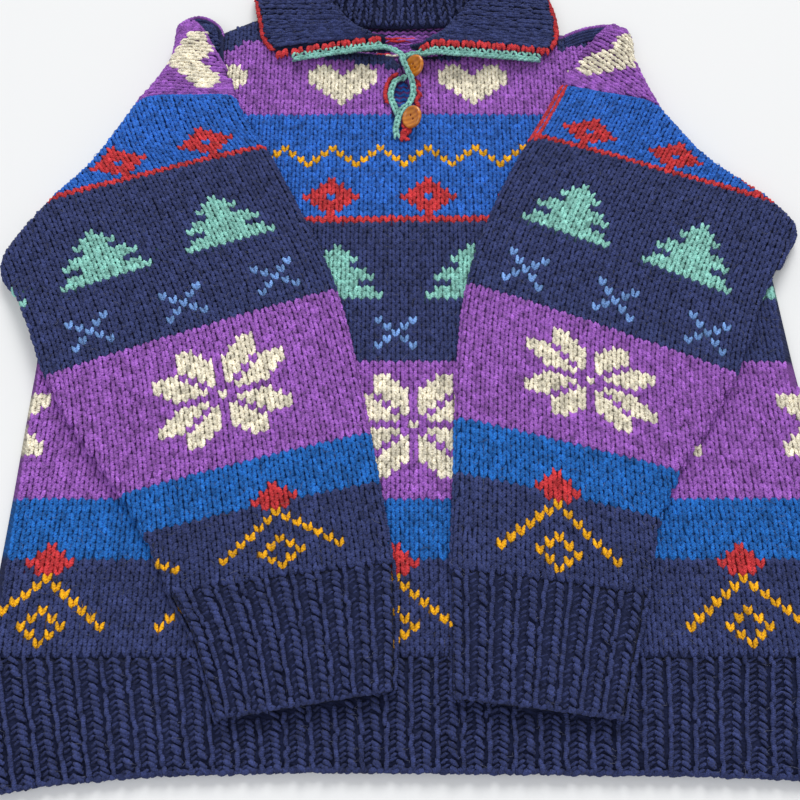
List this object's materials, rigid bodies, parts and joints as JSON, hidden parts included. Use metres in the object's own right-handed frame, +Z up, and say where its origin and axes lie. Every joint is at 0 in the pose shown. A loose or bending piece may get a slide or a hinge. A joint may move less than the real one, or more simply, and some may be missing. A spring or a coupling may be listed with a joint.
{
  "type": "wool sweater",
  "caption": "Chunky hand-knitted wool pullover with a ribbed fold-out collar and buttoned neck slit, laid flat with its sleeves folded over the front.",
  "frame": {"origin": "middle of the pullover's footprint, on the surface it lies on", "axes": "+Z up from the surface, +Y from the hem to the collar, +X to the right as seen from above"},
  "size_m": [0.645, 0.7806, 0.0352],
  "materials": {
    "body_knit": "stocking stitch in thick wool",
    "sleeve_knit": "stocking stitch in thick wool",
    "ribbing": "ribbed thick wool",
    "red_crochet": "crocheted wool",
    "mint_crochet": "crocheted wool",
    "wood": "turned and varnished"
  },
  "bodies": {
    "root": {"back_panel": "body_knit", "back_hem_rib": "ribbing", "front_panel": "body_knit", "front_hem_rib": "ribbing", "sleeve_left": "sleeve_knit", "cuff_left": "ribbing", "sleeve_right": "sleeve_knit", "cuff_right": "ribbing", "collar": "ribbing", "collar_edging": "red_crochet", "slit_edging": "red_crochet", "mint_edging_left": "mint_crochet", "mint_edging_right": "mint_crochet", "button_upper": "wood", "button_lower": "wood"}
  },
  "joints": []
}
